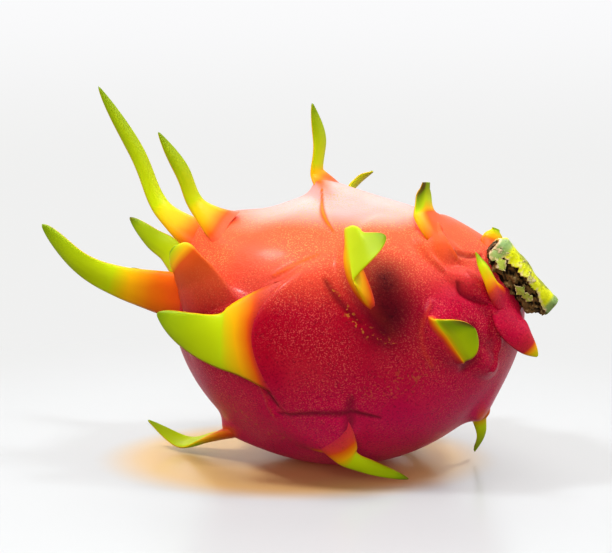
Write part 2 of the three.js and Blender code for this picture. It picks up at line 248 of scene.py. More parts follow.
class Bract:
    """One leaf-like bract: where it is rooted, its directions there and its sizes in millimetres.

    at and angle are its station and angle. width is the half-width of its root and strap that of
    its blade. path holds three points that its middle passes through, the last one its tip, counted
    from the root as right, away and up. step is how high the skin swells behind it, sweep how far
    the ends of its root bow back, back and front how far the swelling reaches. cup bends the blade
    across, twist turns it along its length and turn turns the root. Up to blush of its length the
    blade is red and orange, at green it is lime, and dry is how withered its tip is. root_tint is
    how orange its root is, ring how orange the skin there, edge_green how much greener one side is
    (below 0 the other side), point how late it narrows, and blunt cuts its tip to a share of its
    width."""

    def __init__(self, name, at, angle, width, strap, path, step=4.0, sweep=0.35, back=14.0, front=2.5,
                 thick=2.2, flare=4.0, cup=20.0, twist=0.0, turn=0.0, blush=0.16, green=0.42, dry=0.4,
                 wave=0.4, ring=0.12, root_tint=0.04, edge_green=0.0, blunt=0.0, point=2.6):
        self.name, self.path = name, np.array(path, float)
        self.station, self.angle = np.radians(at), np.radians(angle)
        self.width, self.strap, self.thick, self.flare = width, strap, thick, flare
        self.step, self.sweep, self.back, self.front = step, sweep, back, front
        self.cup, self.twist, self.turn = np.radians(cup), np.radians(twist), np.radians(turn)
        self.blush, self.green, self.dry, self.wave = blush, green, dry, wave
        self.ring, self.root_tint, self.edge_green = ring, root_tint, edge_green
        self.blunt, self.point = blunt, point

    def plant(self, fruit):
        """Works out the root and the forward, side and outward directions there."""
        e = 1e-3
        point, out = fruit.plain(self.station, self.angle)
        after, before = (fruit.plain(self.station + d, self.angle)[0] for d in (e, -e))
        ahead = after - before
        ahead = unit(ahead - out * (ahead @ out))
        side = np.cross(ahead, out)
        self.root, self.out = point, out
        self.forward = ahead * np.cos(self.turn) + side * np.sin(self.turn)
        self.side = np.cross(self.forward, out)

    def local(self, points):
        """Distances forward and sideways from the root, measured as straight lines."""
        d = points - self.root
        f, s = d @ self.forward, d @ self.side
        stretch = np.linalg.norm(d, axis=-1) / (np.hypot(f, s) + 1e-9)
        return f * stretch, s * stretch

    def ridge(self, s):
        """How far back the root lies at a distance s to the side: sweep times width times a power
        of the share of the width."""
        return -self.sweep * self.width * (np.abs(s) / self.width) ** RIDGE_BOW

    def reach(self, s):
        """How much of the swelling is left at a distance s to the side."""
        return np.exp(-(np.abs(s) / (SWELL_REACH * self.width)) ** 3)

    def swelling(self, points):
        """How far the skin swells: it climbs slowly to the ridge and drops off quickly past it."""
        f, s = self.local(points)
        q = f - self.ridge(s)
        soft = np.sqrt(q * q + RIDGE_ROUNDING ** 2) - RIDGE_ROUNDING
        past = 1 / (1 + np.exp(-q / RIDGE_DROP))
        length = self.back * (1 - past) + self.front * past
        return self.step * self.reach(s) * np.exp(-(soft / length) ** SWELL_FADE)

    def tint(self, points):
        """How far the skin has turned towards the bract's colours: from 6 mm behind its root to
        2.5 mm in front of it."""
        f, s = self.local(points)
        q = f - self.ridge(s)
        near = np.where(q < 0, smooth(q, -6.0, 0.0), 1 - smooth(q, 0.0, 2.5))
        return self.ring * self.reach(s) * near

    def ripeness(self, v, across):
        """The colour scale along the blade: 0 skin, 0.12 flame, 0.30 amber, 0.55 lime, 0.85 leaf
        green, 1 dry. Away from the root, edge_green is added on one side."""
        places = [0.0, self.blush, (self.blush + self.green) / 2, self.green, 0.86, 1.0]
        tints = [self.root_tint, self.root_tint + 0.10, 0.36, 0.55, 0.76, 0.80 + 0.2 * self.dry]
        side = smooth(across * np.sign(self.edge_green), 0.1, 0.9) * smooth(v, 0.05, 0.4)
        return np.interp(v, places, tints) + abs(self.edge_green) * side


class Lobe:
    """A pillow of swollen skin: where its middle is, which way it lies (turn from straight towards
    the blossom end), its half-length and half-width and its height in millimetres."""

    def __init__(self, at, angle, turn, half_length, half_width, height):
        self.station, self.angle, self.turn = np.radians([at, angle, turn])
        self.half_length, self.half_width, self.height = half_length, half_width, height

    plant = Bract.plant
    local = Bract.local

    def swelling(self, points):
        """Height times a power of one minus the squared distance in half-sizes, on the lobe's own
        side of the fruit."""
        f, s = self.local(points)
        inside = 1 - (f / self.half_length) ** 2 - (s / self.half_width) ** 2
        facing = unit(points - self.root + 25.0 * self.out) @ self.out > 0.5
        return self.height * np.where(facing, np.maximum(inside, 0.0), 0.0) ** LOBE_POWER


class Seam:
    """A line on the skin through some stations and angles: a crease or rib of some width and height
    in millimetres, with its amounts of painted shade darkening it, golden flecks and amber. taper is
    how much of its width is gone at its ends. A wide one is a broad dip, or a painted shadow."""

    def __init__(self, points, width, height=0.0, stain=0.0, gold=0.0, amber=0.0, taper=0.6):
        self.points = np.radians(points)
        self.width, self.height, self.stain, self.gold, self.amber = width, height, stain, gold, amber
        self.taper = taper

    def nearness(self, fruit, points):
        """1 on the line and 0 a few widths away: a bell over the distance to its nearest stretch,
        whose width shrinks towards both ends."""
        line, _ = fruit.plain(self.points[:, 0], self.points[:, 1])
        line = curve_through(line, np.linspace(0, 1, 4 * len(line)))
        best = np.full(points.shape[:-1], np.inf)
        share = np.zeros_like(best)
        for i, (a, b) in enumerate(zip(line, line[1:])):
            t = np.clip((points - a) @ (b - a) / ((b - a) @ (b - a)), 0, 1)
            d = np.linalg.norm(points - a - t[..., None] * (b - a), axis=-1)
            share = np.where(d < best, (i + t) / (len(line) - 1), share)
            best = np.minimum(best, d)
        width = self.width * (1 - self.taper * np.abs(2 * share - 1) ** 2)
        return np.exp(-(best / width) ** 2)


BRACTS = [
    Bract("front_bract", 104, 6, 20, 7.4, [(-11.6, 0.5, -2.2), (-22, 3, 0.4), (-31.2, 7, 5)], step=4.5,
          sweep=0.45, back=16, thick=2.6, flare=5, cup=12, blush=0.16, green=0.34, ring=0.0,
          root_tint=-0.06),
    Bract("front_upper_bract", 80, 37, 14, 7.5, [(0.7, -5, 4.8), (4.6, -8, 7.5), (10.3, -8, 10.7)],
          turn=-14, sweep=0.4, thick=2, flare=2, cup=5, blush=0.08, green=0.34, ring=0.05,
          root_tint=0.0),
    Bract("front_right_bract", 48, 4, 9, 7.2, [(3, -4, 1.3), (5.9, -7, 2.5), (9.7, -7, 5.1)],
          step=4, sweep=0.2, back=9, thick=2, flare=2, cup=5, turn=-30, blush=0.2, green=0.5, dry=0.1,
          ring=0.03, root_tint=-0.04, edge_green=0.25, point=5),
    Bract("top_bract", 102, 97, 11, 3.3, [(-1, 0, 8), (-0.3, 0, 17.5), (-3, 0, 28.8)], step=5,
          twist=40, thick=2.4, flare=6, blush=0.2, green=0.42, ring=0.12, point=4),
    Bract("back_top_bract", 94, 125, 10, 5, [(-3.3, 3, 6.2), (0, 5, 10), (4.4, 6, 13.2)], flare=3,
          blush=0.1, green=0.3, dry=0.1),
    Bract("bottom_front_bract", 79.5, -38, 9, 2.5, [(1.8, -2, -6.6), (8.7, -1, -9.6), (20.1, 0, -13.3)],
          sweep=0.4, thick=2.8, turn=-142, twist=55, blush=0.2, green=0.4, dry=0.9, ring=0.0,
          root_tint=-0.02, point=4),
    Bract("bottom_left_bract", 126, -75, 9, 4.4, [(-8.4, 4, -7.3), (-17.1, 8, -9.6), (-28.7, 12, -2.9)],
          thick=2.6, twist=35, blush=0.16, green=0.42, ring=0.2),
    Bract("bottom_right_bract", 38, -85, 6, 1.9, [(1.5, 4, -3), (2.7, 8, -9.5), (1.2, 14, -16.3)],
          step=3, back=8, blush=0.25, green=0.5),

    Bract("crown_left_bract", 146, 10, 7.5, 3, [(-17.5, -2, 3.9), (-30.2, -2, 10.1), (-42.3, 2, 21.7)],
          step=3, back=9, thick=2.6, flare=2, blush=0.2, green=0.42, ring=0.1, point=8),
    Bract("crown_tall_bract", 148, 54, 6.5, 2.7, [(-10.4, 3, 11.7), (-17.4, 6, 27.5), (-29.5, 8, 47.8)],
          step=3, back=9, flare=5, blush=0.12, green=0.32, ring=0.1, point=7),
    Bract("crown_near_bract", 133, 56, 8, 3, [(-6.2, 0, 8.7), (-10.1, 0, 18.3), (-17.3, 0, 29.7)],
          step=2, back=7, thick=2.4, flare=8, blush=0.1, green=0.34, ring=0.04, root_tint=-0.08,
          point=5),
    Bract("crown_folded_bract", 126, 12, 12, 7, [(-3.5, -3, 6.6), (-7, -3, 12), (-10.8, 0, 17)],
          step=3, sweep=0.4, back=9, thick=2.4, flare=2.5, turn=50, blush=0.72, green=0.97, dry=0,
          ring=0.03, root_tint=0.0, point=9),
    Bract("crown_small_bract", 145, 25, 4, 4, [(-4.3, 1, 6.8), (-10.1, 4, 10.5), (-17.3, 8, 16.6)],
          step=1.5, back=6, thick=1.8, flare=3, blush=0.0, green=0.05, dry=1.0, point=3),
    Bract("crown_back_bract", 148, 140, 10, 4.5, [(-9, 8, 3), (-18, 14, 6), (-27, 20, 14)], step=3,
          back=9, thick=2.4),
    Bract("crown_rear_bract", 150, -170, 10, 4.5, [(-12, 5, 0), (-23, 8, 2), (-34, 10, 8)], step=3,
          back=9, thick=2.4),
    Bract("crown_low_bract", 146, -120, 9, 4, [(-4, 5, -3), (-8, 12, -5), (-12, 20, -4)], step=3,
          back=9),

    Bract("shoulder_bract", 60, 70, 11, 4.4, [(-0.7, 0, 5.1), (-1.2, 1, 9.8), (-0.7, 1, 14)], step=3.2,
          sweep=0.4, back=9, thick=2.4, flare=4, blush=0.3, green=0.6, blunt=0.5, dry=0.2, ring=0.07,
          root_tint=0.0, edge_green=-0.35),
    Bract("stem_front_bract", 25, 33, 4.5, 2.3, [(-1.4, -4, 4), (-4.4, -4.5, 10), (-7.1, -2.5, 14.6)],
          step=2, back=5, thick=2.2, flare=2, blush=0.35, green=0.75, dry=0.3, ring=0, root_tint=-0.04,
          edge_green=0.3),
    Bract("stem_back_bract", 35, 86, 6, 4.5, [(0.4, 1.2, 2), (0.8, 2, 4), (1.2, 2.8, 6)], step=1.5,
          back=7, thick=2.2, flare=2, blush=0.4, green=0.9, dry=0, blunt=0.4),
    Bract("stem_lower_bract", 19, 20, 7.5, 5, [(1.9, -4, -2.1), (5.1, -4.5, -6.8), (9.5, -2, -12.4)],
          step=2.5, back=5, thick=2, flare=2, turn=-90, twist=-55, blush=0.8, green=1.0, dry=0, ring=0,
          root_tint=-0.06),
    Bract("stem_under_bract", 40, -150, 7, 4, [(0.5, 4.5, -2.5), (1, 9, -4.5), (3, 13.5, -4.5)],
          step=1.5, back=6, thick=2.4, flare=2, blush=0.3, green=0.7),

    Bract("rear_bract", 100, 170, 18, 9, [(-11, 2.5, 1), (-21, 2, 3), (-31, -1, 8)], step=4.5,
          sweep=0.4, back=16, thick=2.6, flare=3.5),
    Bract("rear_upper_bract", 74, 165, 14, 8, [(-4, 6, 2), (-3, 9, 4), (2, 10, 7)], step=4.2,
          sweep=0.4, flare=3),
    Bract("rear_low_bract", 96, -140, 12, 5, [(-8, 4, -4), (-16, 4, -5), (-24, 0, -4)], thick=2.4),
    Bract("rear_right_bract", 50, -160, 12, 7, [(-2, 6, 0), (0, 9, 2), (5, 10, 5)], step=4.2, back=10,
          flare=3),
    Bract("rear_shoulder_bract", 52, 150, 11, 6, [(-0.9, 6, 0.6), (0.7, 9, 2.2), (2.1, 10, 5)], back=9,
          flare=3),
    Bract("rear_bottom_bract", 66, -120, 10, 4, [(-4, 6, -4.5), (-8, 12, -7.4), (-14, 18, -8.2)],
          step=3.5, back=9),
]

LOBES = [
    Lobe(54, 56, 10, 11, 5.5, 3.0),
    Lobe(40, 40, 10, 9.5, 5, 2.6),
    Lobe(30, -20, 60, 10, 5, 2.4),
    Lobe(30, 100, 0, 8, 6, 2.4),
    Lobe(34, 160, 30, 9, 6, 3.0),
    Lobe(30, -130, 20, 9, 6, 1.0),
]

SEAMS = [
    # The creases, ribs and flecked lines that run from one bract to the next; painted shade darkens the
    # creases
    Seam([(104, -15), (102, -20), (101, -25), (99, -30)], 0.7, 0.6, gold=0.4, amber=0.04),
    Seam([(102, -13), (100, -18), (98, -23)], 1.3, -0.6, stain=0.75),
    Seam([(98, -27), (90, -24), (83, -23), (76, -24), (71, -27), (67, -30)], 0.9, -0.5, stain=0.7),
    Seam([(75, -17), (76, -22), (76, -28), (78, -33)], 1.8, -0.4, stain=0.5),
    Seam([(84, 27), (78, 19), (75, 14), (69, 9), (63, 5)], 1.6, 0.3, gold=1.0),
    Seam([(98, 82), (95, 69), (92, 61), (88, 54)], 0.8, 0.9, amber=0.16),
    Seam([(86, 30), (82, 24), (77, 18), (73, 14)], 1.2, -0.8, stain=0.6),
    # A painted shadow: the shadow that front_upper_bract casts on the skin beside it
    Seam([(68, 33), (66, 23), (66, 13)], 9.0, -0.5, stain=0.8, taper=0.2),
    Seam([(118, 72), (123, 95), (121, 122)], 12.0, -3.4, taper=0.1),
    Seam([(133, 35), (129, 27), (126, 24), (115, 18)], 0.8, -0.9, stain=0.4, amber=0.1),
    Seam([(37, 9), (37, -5), (38, -17)], 4.2, -1.2, stain=0.6),
    Seam([(53, 25), (55, 14), (54, 3), (50, -9)], 1.1, 0.9, amber=0.04),
    Seam([(28, 21), (24, 5), (22, -14), (28, -28)], 1.2, 1.2),
    Seam([(69, 88), (66, 69), (60, 53), (51, 43)], 1.2, 0.9),
    Seam([(58, 69), (53, 57), (48, 51)], 1.2, 0.8, amber=0.06),
    Seam([(45, 37), (41, 30), (30, 27)], 1.0, -1.0, stain=0.5),
    Seam([(56, 66), (49, 55), (44, 57), (38, 65)], 1.0, -1.0, stain=0.35),
    Seam([(90, 42), (96, 36), (103, 30)], 0.7, 0.6, amber=0.12),
    Seam([(86, -43), (88, -48)], 2.4, 0.0, amber=0.2),
    Seam([(120, -30), (108, -40), (96, -42)], 5.0, 0.0, gold=0.45),
    Seam([(70, -15), (60, -14), (52, -10)], 5.0, 0.0, gold=0.4),
    Seam([(100, -150), (80, -160), (66, -150)], 1.4, -0.5, stain=0.6, gold=0.4),
    Seam([(84, 150), (76, 160), (62, 170)], 1.4, 0.3, gold=0.9),
]


def swollen_skin(fruit, station, angle, lift=0.0):
    """The skin with its swellings: each point moves out by the soft maximum of all the swellings,
    the root of the sum of their powers, plus lift, and stops at the surface the fruit rests on."""
    points, normals = fruit.plain(station, angle)
    total = sum(b.swelling(points) ** SWELL_POWER for b in (*BRACTS, *LOBES))
    out = points + normals * (total ** (1 / SWELL_POWER) + lift)[..., None]
    out[..., 2] = np.maximum(out[..., 2], 0.0)
    return out


def skin_near(fruit, bract, f, s, lift=0.0):
    """The skin at a distance forward and sideways from a bract's root."""
    f, s = np.broadcast_arrays(f, s)
    points = bract.root + f[..., None] * bract.forward + s[..., None] * bract.side
    return swollen_skin(fruit, *fruit.address(points), lift)


# ---------------------------------------------------------------- shape of a bract

def curve_through(points, v):
    """A Catmull-Rom curve through the points, at parameters v from 0 to 1."""
    knots = np.vstack([2 * points[0] - points[1], points, 2 * points[-1] - points[-2]])
    spans = len(points) - 1
    x = np.clip(v * spans, 0, spans - 1e-9)
    i = x.astype(int)
    t = (x - i)[:, None]
    a, b, c, d = knots[i], knots[i + 1], knots[i + 2], knots[i + 3]
    return 0.5 * (2 * b + (c - a) * t + (2 * a - 5 * b + 4 * c - d) * t ** 2
                  + (3 * b - a - 3 * c + d) * t ** 3)


def carried_side(start, tangents):
    """A side direction carried along a curve without turning about it."""
    sides = np.empty_like(tangents)
    side = start
    for i, tangent in enumerate(tangents):
        side = unit(side - tangent * (side @ tangent))
        sides[i] = side
    return sides


def bract_surface(fruit, bract):
    """The bract's closed surface as rings from root to tip, and for each point its place along the
    blade, across it and on which face it lies. A ring is a thin lens bent across by cup, whose
    middle follows the bract's curve. Its half-width is strap times a power of one minus v to the
    power point, but at least blunt, plus what is left of the root's greater width. Near the root
    the rings blend into a line sunk under the skin's ridge."""
    rows, across = BRACT_GRID
    v = np.linspace(0.0, 1.0, rows + 1)[:-1]
    start = skin_near(fruit, bract, np.array(0.0), np.array(0.0))
    middle = curve_through(np.vstack([start, bract.root + bract.path]), v)
    tangents = unit(np.gradient(middle, axis=0))
    sides = carried_side(bract.side, tangents)
    normals = np.cross(sides, tangents)
    turn = (bract.twist * v)[:, None]
    sides, normals = (sides * np.cos(turn) + normals * np.sin(turn),
                      normals * np.cos(turn) - sides * np.sin(turn))

    x = np.linspace(-1.0, 1.0, across)
    x = np.concatenate([x, x[-2:0:-1]])
    face = np.concatenate([np.ones(across), -np.ones(across - 2)])
    edge = np.sqrt(np.clip(1 - np.abs(x) ** BLADE_EDGE, 0, 1))
    half = (bract.strap * np.maximum((1 - v ** bract.point) ** BLADE_TAPER, bract.blunt)
            + (bract.width - bract.strap) * (1 - v) ** bract.flare)[:, None]
    thick = (bract.thick * (1 - BLADE_THINNING * v))[:, None]
    lateral = np.sin(x * bract.cup) / np.sin(bract.cup)
    sag = (np.cos(x * bract.cup) - 1) / np.sin(bract.cup)
    phase = RIPPLES[0] * v[:, None] + RIPPLES[1] * x
    ripple = bract.wave * np.abs(x) ** 3 * np.sin(phase) * smooth(v, 0.3, 0.7)[:, None]
    rise = half * sag + ripple + 0.5 * thick * face * edge
    free = (middle[:, None] + sides[:, None] * (half * lateral)[..., None]
            + normals[:, None] * rise[..., None])

    s = x * bract.width
    behind = np.where(face > 0, -ROOT_BEHIND, ROOT_AHEAD) * edge
    rooted = skin_near(fruit, bract, bract.ridge(s) + behind, s, -ROOT_DEPTH)
    ease = smooth(v, 0.0, BRACT_EASE)[:, None, None]
    rings = rooted * (1 - ease) + free * ease
    rings[..., 2] = np.maximum(rings[..., 2], 0.0)
    sunk = skin_near(fruit, bract, np.array(0.0), np.array(0.0), -2 * ROOT_DEPTH)
    tip = bract.root + bract.path[-1]
    tip[2] = max(tip[2], TIP_HEIGHT)
    marks = {"along": v[:, None], "across": x, "face": face}
    marks = {key: np.broadcast_to(values, rings.shape[:2]) for key, values in marks.items()}
    return rings, sunk, tip, marks


# ---------------------------------------------------------------- meshes

def closed_mesh(name, rings, first, last, marks, ends):
    """A closed mesh from rings of equally many points and a point at each end. marks are named
    values at the points, and ends their values at the two end points."""
    rows, round_ = rings.shape[:2]
    points = np.vstack([rings.reshape(-1, 3), first, last]) * MM
    i, j = np.meshgrid(np.arange(rows - 1), np.arange(round_), indexing="ij")
    a, b = i * round_ + j, i * round_ + (j + 1) % round_
    quads = np.stack([a, b, b + round_, a + round_], -1).reshape(-1, 4)
    k = np.arange(round_)
    after = (k + 1) % round_
    top = (rows - 1) * round_
    fans = np.concatenate([
        np.stack([np.full(round_, rows * round_), after, k], -1),
        np.stack([np.full(round_, rows * round_ + 1), top + k, top + after], -1)])
    corners = np.concatenate([quads.ravel(), fans.ravel()])
    sizes = np.concatenate([np.full(len(quads), 4), np.full(len(fans), 3)])
    mesh = bpy.data.meshes.new(name)
    mesh.vertices.add(len(points))
    mesh.vertices.foreach_set("co", points.astype(np.float32).ravel())
    mesh.loops.add(len(corners))
    mesh.loops.foreach_set("vertex_index", corners.astype(np.int32))
    mesh.polygons.add(len(sizes))
    mesh.polygons.foreach_set("loop_start", (np.cumsum(sizes) - sizes).astype(np.int32))
    mesh.polygons.foreach_set("loop_total", sizes.astype(np.int32))
    mesh.polygons.foreach_set("use_smooth", np.ones(len(sizes), bool))
    mesh.update(calc_edges=True)
    mesh.validate()
    for key, values in marks.items():
        attribute = mesh.attributes.new(key, "FLOAT", "POINT")
        values = np.concatenate([values.ravel(), ends[key]])
        attribute.data.foreach_set("value", values.astype(np.float32))
    return mesh


def shell_mesh(name, outer, inner, marks):
    """A thin closed shell between two grids of points, its border closed by a strip."""
    rows, across = outer.shape[:2]
    points = np.vstack([outer.reshape(-1, 3), inner.reshape(-1, 3)]) * MM
    i, j = np.meshgrid(np.arange(rows - 1), np.arange(across - 1), indexing="ij")
    a = (i * across + j).ravel()
    top = np.stack([a, a + 1, a + across + 1, a + across], -1)
    under = rows * across
    border = np.concatenate([
        np.arange(across), np.arange(1, rows) * across + across - 1,
        (rows - 1) * across + np.arange(across - 2, -1, -1), np.arange(rows - 2, 0, -1) * across])
    after = np.roll(border, -1)
    strip = np.stack([after, border, border + under, after + under], -1)
    faces = np.vstack([top, top[:, ::-1] + under, strip])
    mesh = bpy.data.meshes.new(name)
    mesh.from_pydata(points.tolist(), [], faces.tolist())
    mesh.polygons.foreach_set("use_smooth", np.ones(len(faces), bool))
    for key, values in marks.items():
        values = np.broadcast_to(values, (rows, across)).ravel()
        attribute = mesh.attributes.new(key, "FLOAT", "POINT")
        attribute.data.foreach_set("value", np.tile(values, 2).astype(np.float32))
    return mesh


def add_piece(mesh, material, slot, *nodes):
    """Links a finished mesh as a piece of the fruit that stands for CAD nodes."""
    mesh.materials.append(material)
    piece = bpy.data.objects.new(mesh.name, mesh)
    bpy.context.scene.collection.objects.link(piece)
    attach(piece, "root")
    if nodes:
        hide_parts(*nodes)
    return piece


# ---------------------------------------------------------------- shader maths

class Wire:
    """A socket that can be used in sums. Operators on values add Math nodes."""

    def __init__(self, tree, socket):
        self.tree, self.socket = tree, socket

    def _math(self, operation, *others):
        return self.node("ShaderNodeMath", 0, {"operation": operation}, self, *others)

    def node(self, kind, output, settings, *values, **named):
        """Adds a node of any kind, applies its settings, joins values to its inputs in order and
        named ones by name, and returns one of its outputs. None leaves an input alone."""
        made = self.tree.nodes.new(kind)
        for key, value in settings.items():
            if key == "stops":
                ramp = made.color_ramp
                while len(ramp.elements) < len(value):
                    ramp.elements.new(1.0)
                for element, (place, tint) in zip(ramp.elements, value):
                    element.position, element.color = place, (*tint, 1.0)
            else:
                setattr(made, key, value)
        by_name = [(made.inputs[key.replace("_", " ")], value) for key, value in named.items()]
        for target, value in (*zip(made.inputs, values), *by_name):
            if isinstance(value, Wire):
                self.tree.links.new(value.socket, target)
            elif value is not None:
                target.default_value = value
        return Wire(self.tree, made.outputs[output])

    def __add__(self, other):
        return self._math("ADD", other)

    def __radd__(self, other):
        return self._math("ADD", other)

    def __sub__(self, other):
        return self._math("SUBTRACT", other)

    def __rsub__(self, other):
        return self.node("ShaderNodeMath", 0, {"operation": "SUBTRACT"}, other, self)

    def __mul__(self, other):
        return self._math("MULTIPLY", other)

    def __rmul__(self, other):
        return self._math("MULTIPLY", other)

    def clamp(self):
        """The value kept between 0 and 1."""
        return self.node("ShaderNodeClamp", 0, {}, self)

    def step(self, low, high):
        """0 where the value is low, 1 where it is high, and an S curve between."""
        return self.node("ShaderNodeMapRange", 0, {"interpolation_type": "SMOOTHSTEP"}, self, low, high)

    def mix(self, a, b):
        """Colour a where this value is 0 and colour b where it is 1."""
        made = self.tree.nodes.new("ShaderNodeMix")
        made.data_type = "RGBA"
        self.tree.links.new(self.socket, made.inputs["Factor"])
        for socket, value in ((made.inputs[MIX_A], a), (made.inputs[MIX_B], b)):
            if isinstance(value, Wire):
                self.tree.links.new(value.socket, socket)
            else:
                socket.default_value = (*value, 1.0)
        return Wire(self.tree, made.outputs[MIX_RESULT])


class Finish:
    """A material being written: its surface shader and its usual inputs."""

    def __init__(self, name, **constants):
        self.material = bpy.data.materials.new(name)
        self.material.use_nodes = True
        self.tree = self.material.node_tree
        self.shader = self.tree.nodes["Principled BSDF"]
        for key, value in constants.items():
            self.shader.inputs[key.replace("_", " ")].default_value = value
        start = Wire(self.tree, None)
        self.place = start.node("ShaderNodeTexCoord", "Object", {})

    def mark(self, name):
        """A named value stored at the mesh's points."""
        return self.place.node("ShaderNodeAttribute", "Fac", {"attribute_name": name})

    def noise(self, scale, detail=2.0, roughness=0.5, stretch=None):
        """Noise on the piece's own place, scale in features per metre, about 0.5 on average."""
        place = self.place
        if stretch is not None:
            place = place.node("ShaderNodeMapping", 0, {}, place, Scale=stretch)
        return place.node(
            "ShaderNodeTexNoise", 0, {}, place, Scale=scale, Detail=detail, Roughness=roughness)

    def cells(self, scale):
        """Distance to the nearest of many scattered points, in cells."""
        return self.place.node("ShaderNodeTexVoronoi", "Distance", {}, self.place, Scale=scale)

    def surface(self, **links):
        """Joins wires to the shader's inputs."""
        for key, wire in links.items():
            self.tree.links.new(wire.socket, self.shader.inputs[key.replace("_", " ")])
        return self.material

    def bump(self, height, depth):
        """A normal from a height, with the depth in metres that a height of 1 stands for."""
        return self.place.node("ShaderNodeBump", 0, {}, Strength=1.0, Distance=depth, Height=height)


# ---------------------------------------------------------------- finishes

def flesh_colour(finish, colours, ripe, flecking=0.7):
    """The colour that skin and bracts share, and the fine grain and flecks it is made with: crimson,
    coral or magenta skin by place, a painted sheen on top, flecked, painted shade in creases, golden
    flecks, then flame, amber, lime and leaf green as ripe goes from 0 to 1. flecking is how strong the
    light flecks are."""
    patches = finish.noise(45.0, 3.0)
    grain = finish.noise(1500.0, 2.0, 0.6)
    worms = finish.noise(2400.0, 1.5, 0.5)
    blush = (finish.mark("coral") + (patches - 0.5) * 0.5 + (grain - 0.5) * 0.2).clamp()
    low = (finish.mark("low") + (patches - 0.5) * 0.3).clamp()
    skin = low.mix(tuple(colours.crimson), tuple(colours.magenta))
    skin = (grain.step(0.50, 0.30) * 0.35).mix(skin, tuple(colours.bruise))
    skin = blush.mix(skin, tuple(colours.coral))
    # Painted sheen: skin that faces up is made paler, in place of the reflection of the lights above
    skin = (finish.mark("pale") * (patches + 0.5)).clamp().mix(skin, tuple(colours.painted_sheen))
    flecks = blush.mix(tuple(colours.fleck), tuple(colours.peach))
    speck = worms.step(0.53, 0.64) * finish.noise(60.0, 3.0).step(0.30, 0.62)
    skin = (speck * flecking).mix(skin, flecks)
    # Painted shade along the creases, and a painted shadow beside a bract, carried from the seams
    stain = finish.mark("bruise") * (grain * 0.6 + patches * 1.2 + 0.1)
    skin = stain.clamp().mix(skin, tuple(colours.bruise))
    gold = finish.mark("fleck") * finish.noise(900.0, 1.0, 0.5).step(0.58, 0.68) * 0.8
    skin = gold.clamp().mix(skin, tuple(colours.gold))
    tint = ripe + (finish.noise(160.0, 3.0) - 0.5) * 0.05
    leaf = tint.node("ShaderNodeValToRGB", 0, {"stops": [
        (0.10, tuple(colours.flame)), (0.30, tuple(colours.amber)), (0.55, tuple(colours.lime)),
        (0.85, tuple(colours.leaf)), (1.0, tuple(colours.dry))]}, tint)
    return tint.step(0.0, 0.13).mix(skin, leaf), grain, worms


def skin_finish(colours):
    """Waxy fruit skin: fine leathery grain, light flecks, creases darkened with painted shade, a
    painted sheen along the top and an uneven gloss.
    """
    finish = Finish("pitaya_skin", IOR=1.42, Coat_Roughness=0.15, Specular_IOR_Level=0.17)
    shade, grain, worms = flesh_colour(finish, colours, finish.mark("ripe"))
    height = grain * 0.5 + worms * 0.4 + finish.noise(260.0, 3.0)
    rough = finish.noise(120.0, 3.0) * 0.16 + 0.30
    gloss = finish.noise(30.0, 2.0).step(0.3, 0.8) * 0.12
    return finish.surface(
        Base_Color=shade, Roughness=rough, Coat_Weight=gloss, Normal=finish.bump(height, 0.00016))


def bract_finish(colours):
    """Fleshy bract: skin colours at the root, green towards the tip, faint veins along it and a
    thin yellow margin."""
    finish = Finish("pitaya_bract", IOR=1.42, Specular_IOR_Level=0.3)
    across = finish.mark("across")
    ripe = finish.mark("ripe")
    shade, _, _ = flesh_colour(finish, colours, ripe, 0.3)
    rim = (across * across).step(0.86, 0.98) * ripe.step(0.02, 0.3)
    shade = (rim * 0.75).mix(shade, tuple(colours.amber))
    veins = across.node("ShaderNodeMath", 0, {"operation": "SINE"}, across * 13.0)
    height = veins * 0.05 * ripe.step(0.1, 0.4) + finish.noise(300.0, 2.0)
    rough = finish.noise(150.0, 2.0) * 0.2 + 0.36
    return finish.surface(Base_Color=shade, Roughness=rough, Normal=finish.bump(height, 0.00004))


def stem_skin_finish(colours):
    """Old cactus skin: yellow-green with olive patches, dry pale scars, dark pores and pale edges."""
    finish = Finish("pitaya_stem_skin", IOR=1.42, Specular_IOR_Level=0.35)
    wide = finish.noise(130.0, 4.0)
    fine = finish.noise(620.0, 4.0, 0.6)
    shade = (wide.step(0.48, 0.68) * 0.7).mix(tuple(colours.stem_skin), tuple(colours.olive))
    shade = finish.mark("facet").mix(shade, tuple(colours.pith))
    scars = finish.noise(210.0, 5.0, 0.65, (1.0, 1.0, 1.8)).step(0.57, 0.64)
    shade = (scars * 0.9).mix(shade, tuple(colours.scar))
    shade = (finish.mark("edge") * fine.step(0.35, 0.6)).mix(shade, tuple(colours.scar))
    pores = (1 - finish.cells(800.0).step(0.10, 0.22)) * wide.step(0.35, 0.6)
    shade = (pores * 0.8).mix(shade, tuple(colours.pore))
    height = fine * 0.6 + scars * 0.5 - pores * 0.5 + wide * 0.6
    rough = fine * 0.2 + 0.38
    return finish.surface(Base_Color=shade, Roughness=rough, Normal=finish.bump(height, 0.0005))


